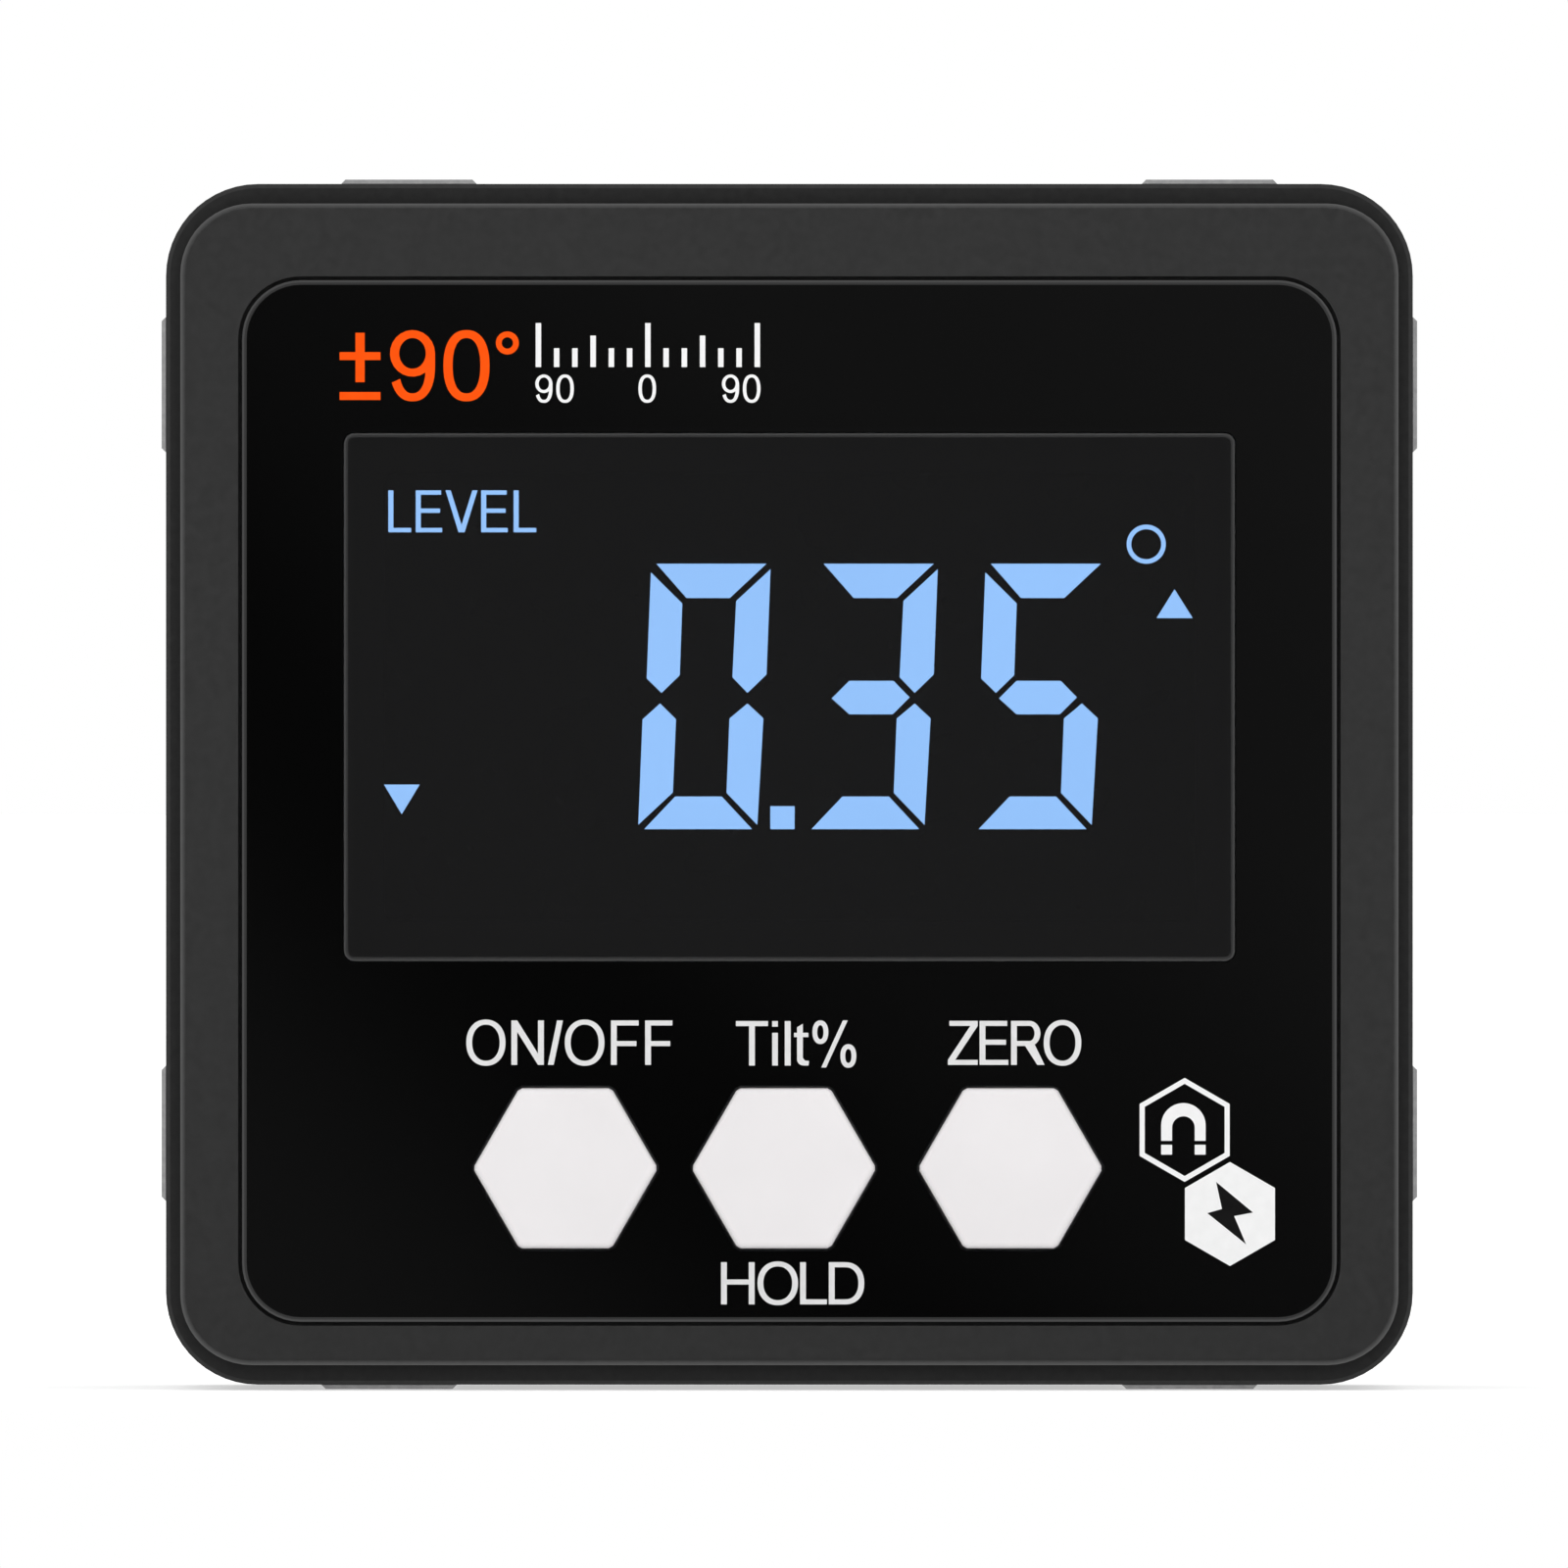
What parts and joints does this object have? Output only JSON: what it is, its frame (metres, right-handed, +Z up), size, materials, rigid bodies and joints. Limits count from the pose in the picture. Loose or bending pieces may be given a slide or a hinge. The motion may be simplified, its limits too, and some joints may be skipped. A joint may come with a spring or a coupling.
{
  "type": "digital angle gauge",
  "caption": "Pocket digital angle gauge: square dark case with bar magnets let into its four measuring sides, a dark display window and hexagonal keys on the front.",
  "frame": {"origin": "middle of the overall width and depth, on the plane of the bottom magnet faces", "axes": "+X to the right seen from the front, +Y to the back, +Z up; the keys and display face -Y"},
  "size_m": [0.06, 0.03, 0.0578],
  "materials": {
    "bezel_plastic": "fine matt texture",
    "case_plastic": "fine matt texture",
    "panel_plastic": "polished black",
    "adhesive": "adhesive sheet",
    "lens_acrylic": "dark tinted acrylic",
    "lcd_glass": "polished glass",
    "white_plastic": "moulded",
    "light_guide": "moulded light guide",
    "elastomer": "striped elastomer",
    "key_plastic": "satin off-white",
    "silicone": "matt silicone",
    "switch_plastic": "moulded",
    "plunger_plastic": "moulded",
    "board_laminate": "green solder mask",
    "screw_steel": "zinc plated",
    "chip_epoxy": "moulded epoxy",
    "shell_steel": "nickel plated sheet",
    "insulator": "moulded",
    "flap_rubber": "matt rubber",
    "pouch_foil": "foil laminate pouch",
    "lead_insulation": "insulated wire",
    "socket_plastic": "moulded",
    "foam": "foam tape",
    "seal_rubber": "moulded seal",
    "dark_screw_steel": "black zinc",
    "magnet_nickel": "ground and nickel plated",
    "display_segment": "lit blue display segments",
    "white_print": "screen printed ink",
    "orange_print": "screen printed ink",
    "black_print": "screen printed ink",
    "contact_gold": "gold plated contacts"
  },
  "bodies": {
    "housing": {"front_bezel": "bezel_plastic", "main_case": "case_plastic", "faceplate": "panel_plastic", "faceplate_tape": "adhesive", "display_lens": "lens_acrylic", "lcd_glass": "lcd_glass", "lcd_frame": "white_plastic", "backlight": "light_guide", "lcd_connector": "elastomer", "key_seal": "silicone", "switch_power": "switch_plastic", "switch_tilt": "switch_plastic", "switch_zero": "switch_plastic", "circuit_board": "board_laminate", "board_screws": "screw_steel", "microcontroller": "chip_epoxy", "tilt_sensor": "chip_epoxy", "charger_chip": "chip_epoxy", "usb_shell": "shell_steel", "usb_tongue": "insulator", "flap_anchor": "flap_rubber", "battery": "pouch_foil", "battery_leads": "lead_insulation", "battery_socket": "socket_plastic", "battery_pad": "foam", "cover_seal": "seal_rubber", "back_cover": "case_plastic", "cover_screws": "dark_screw_steel", "magnet_top_left": "magnet_nickel", "magnet_top_right": "magnet_nickel", "magnet_bottom_left": "magnet_nickel", "magnet_bottom_right": "magnet_nickel", "magnet_left_upper": "magnet_nickel", "magnet_left_lower": "magnet_nickel", "magnet_right_upper": "magnet_nickel", "magnet_right_lower": "magnet_nickel"},
    "power_key": {"key_power": "key_plastic", "plunger_power": "plunger_plastic"},
    "tilt_key": {"key_tilt": "key_plastic", "plunger_tilt": "plunger_plastic"},
    "zero_key": {"key_zero": "key_plastic", "plunger_zero": "plunger_plastic"},
    "flap": {"port_flap": "flap_rubber"}
  },
  "joints": [
    {"name": "power_press", "type": "slide", "parent": "housing", "child": "power_key", "axis": [0, 1, 0], "range_m": [0, 0.0004], "stiffness_N_per_m": 4000},
    {"name": "tilt_press", "type": "slide", "parent": "housing", "child": "tilt_key", "axis": [0, 1, 0], "range_m": [0, 0.0004], "stiffness_N_per_m": 4000},
    {"name": "zero_press", "type": "slide", "parent": "housing", "child": "zero_key", "axis": [0, 1, 0], "range_m": [0, 0.0004], "stiffness_N_per_m": 4000},
    {"name": "flap_bend", "type": "hinge", "parent": "housing", "child": "flap", "pos_m": [0.02935, -0.00367, 0.0363], "axis": [0, -1, 0], "range_deg": [0, 110]}
  ]
}
